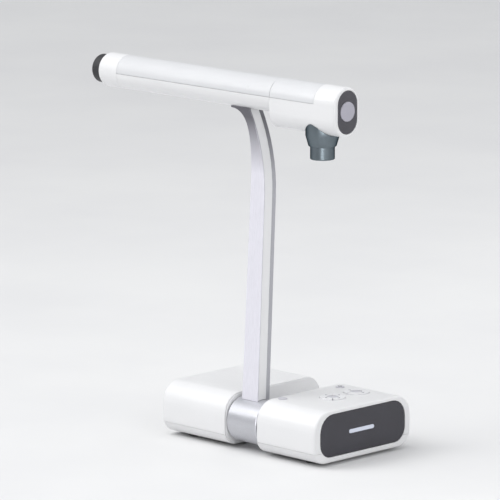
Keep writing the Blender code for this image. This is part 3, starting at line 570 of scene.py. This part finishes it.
def make_vga_hole_shades():
    """Black discs in three rows on the face of the VGA socket: painted shade standing in for its fifteen
    contact holes.
    """
    low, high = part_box("vga_socket")
    centre, pitch, row_pitch, columns = middle("vga_socket"), 2.29 * MM, 1.98 * MM, 5
    shifts = (0.17, -0.33, 0.17)      # of each row, in pitches: the middle row sits half a pitch aside
    height = low.z + 6.8 * MM
    radius, back, front = 0.48 * MM, high.y - 0.4 * MM, high.y + 0.03 * MM
    for row, shift in enumerate(shifts):
        for i in range(columns):
            x = centre.x + (i - 2 + shift) * pitch
            z = height + (row - 1) * row_pitch
            # each black disc is painted shade in place of a hole
            hole = turned([(0.0, back), (radius, back), (radius, front), (0.0, front)], (x, z), 12, "Y")
            add_mesh(f"vga_hole_shade_{row * columns + i + 1}", hole, BORE_BLACK, "base")


def make_socket_details():
    """Contacts inside the rear sockets."""
    inside = 2.4 * MM      # from a socket's side to its tongue
    usb, hdmi = ("usb_socket", 1.6 * MM, 2.9 * MM, 4), ("hdmi_socket", 1.0 * MM, 5.9 * MM, 9)
    for node, thickness, root, count in (usb, hdmi):
        low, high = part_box(node)
        z = (low.z + high.z) / 2
        tongue = block((low.x + inside, low.y + root, z - thickness / 2),
                       (high.x - inside, high.y - 1.2 * MM, z + thickness / 2), 0.15 * MM)
        add_mesh(f"{node}_tongue", tongue, BORE_BLACK, "base")
        width = high.x - low.x - 2 * inside
        for i in range(count):
            x = low.x + inside + width * (i + 0.5) / count
            half = 0.28 * width / count
            contact = block((x - half, low.y + 7.0 * MM, z - thickness / 2 - 0.05 * MM),
                            (x + half, high.y - 1.6 * MM, z - thickness / 2 + 0.1 * MM))
            add_mesh(f"{node}_contact_{i + 1}", contact, FINISHES["brass"], "base")
    power_low, power_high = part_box("power_socket")
    centre = (middle("power_socket").x, middle("power_socket").z)
    root, shoulder, tip = power_low.y + 3.9 * MM, power_high.y - 3.5 * MM, power_high.y - 2.9 * MM
    pin = [(0.0, root), (1.0 * MM, root), (1.0 * MM, shoulder), (0.6 * MM, tip), (0.0, tip)]
    add_mesh("power_socket_pin", turned(pin, centre, 24, "Y"), FINISHES["socket_metal"], "base")


def make_lamp_leds():
    """A row of LEDs under the lamp board."""
    low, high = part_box("lamp_board")
    y, count, half = (low.y + high.y) / 2, 14, 1.5 * MM
    bottom, top = low.z - 0.8 * MM, low.z - 0.02 * MM
    for i in range(count):
        x = low.x + (high.x - low.x) * (i + 0.5) / count
        led = block((x - half, y - half, bottom), (x + half, y + half, top), 0.15 * MM)
        add_mesh(f"lamp_led_{i + 1}", led, PHOSPHOR, BODY_OF["lamp_board"])


# ---------------------------------------------------------------- stage, light, camera

VIEW_AZIMUTH = 45.0          # degrees
VIEW_ELEVATION = 10.85       # degrees
VIEW_DISTANCE = 5.8          # metres
FRAME_FILL = 0.86            # share of the frame's height that the object takes


def make_floor():
    """Round pale floor whose rim rises in a cove, so the horizon is soft from every side."""
    flat, cove, steps = 8.5, 4.0, 12
    profile = [(0.0, 0.0), (flat, 0.0)]
    for i in range(1, steps + 1):
        angle = pi / 2 * i / steps
        profile.append((flat + cove * sin(angle), cove * (1 - cos(angle))))
    data = bpy.data.meshes.new("floor")
    mesh = turned(profile, (0.0, 0.0), 96)
    bmesh.ops.recalc_face_normals(mesh, faces=mesh.faces)
    mesh.to_mesh(data)
    mesh.free()
    data.materials.append(pale_floor("pale_floor"))
    data.shade_smooth()
    floor = bpy.data.objects.new("floor", data)
    bpy.context.collection.objects.link(floor)


def make_world():
    """Even, slightly cool light from all round."""
    world = bpy.data.worlds.new("studio")
    bpy.context.scene.world = world
    world.use_nodes = True
    background = world.node_tree.nodes["Background"]
    background.inputs["Color"].default_value = (0.92, 0.94, 0.97, 1.0)
    background.inputs["Strength"].default_value = 0.46


def softbox(name, place, aim, size, power):
    """A rectangular area light of the given size in metres and power in watts."""
    light = bpy.data.lights.new(name, "AREA")
    light.shape = "RECTANGLE"
    light.size, light.size_y = size
    light.energy = power
    holder = bpy.data.objects.new(name, light)
    holder.location = place
    holder.rotation_euler = (Vector(aim) - Vector(place)).to_track_quat("-Z", "Y").to_euler()
    bpy.context.collection.objects.link(holder)
    return holder


def make_lights():
    """Four softboxes on the object, a low one seen only in reflections, and a broad soft sun."""
    aim = (0.0, 0.0, 0.25)
    softbox("key_softbox", (-1.3, -1.9, 1.7), aim, (1.3, 1.3), 20)
    softbox("fill_softbox", (2.2, -0.6, 1.1), aim, (1.4, 1.4), 14)
    softbox("top_softbox", (0.1, 0.3, 2.3), aim, (1.8, 1.2), 6)
    softbox("rim_softbox", (0.8, 2.1, 1.5), aim, (1.2, 1.0), 8)
    gleam = softbox("low_gleam", (1.7, -1.7, 0.36), (0.0, 0.0, 0.36), (0.80, 0.54), 13)
    gleam.visible_diffuse = False      # gives the upright round parts a highlight, but no pool on the floor
    gleam.visible_camera = False
    sky = bpy.data.lights.new("ceiling", "SUN")
    sky.energy = 1.45
    sky.angle = radians(50)
    holder = bpy.data.objects.new("ceiling", sky)
    holder.rotation_euler = (radians(24), radians(-20), 0.0)
    bpy.context.collection.objects.link(holder)


def make_camera():
    """Long lens at the chosen viewing angle, framed on the object's box."""
    azimuth, elevation = radians(VIEW_AZIMUTH), radians(VIEW_ELEVATION)
    back = Vector((sin(azimuth) * cos(elevation), -cos(azimuth) * cos(elevation), sin(elevation)))
    right = Vector((cos(azimuth), sin(azimuth), 0.0))
    up = back.cross(right)
    low, high = (Vector(corner) for corner in CAD_BOX)
    corners = [Vector((x, y, z)) for x in (low.x, high.x) for y in (low.y, high.y) for z in (low.z, high.z)]
    heights = [corner.dot(up) for corner in corners]
    widths = [corner.dot(right) for corner in corners]
    target = up * (min(heights) + max(heights)) / 2 + right * (min(widths) + max(widths)) / 2
    camera = bpy.data.cameras.new("camera")
    camera.sensor_width = 36.0
    camera.lens = camera.sensor_width * VIEW_DISTANCE * FRAME_FILL / (max(heights) - min(heights))
    camera.clip_end = 100.0
    holder = bpy.data.objects.new("camera", camera)
    holder.matrix_world = Matrix((right, up, back)).transposed().to_4x4()
    holder.location = target + back * VIEW_DISTANCE
    bpy.context.collection.objects.link(holder)
    bpy.context.scene.camera = holder


make_finished_nodes()
make_key_marks()
make_lens()
make_socket_details()
make_vga_hole_shades()
make_lamp_leds()
make_floor()
make_world()
make_lights()
make_camera()
bpy.context.scene.view_settings.view_transform = "Standard"
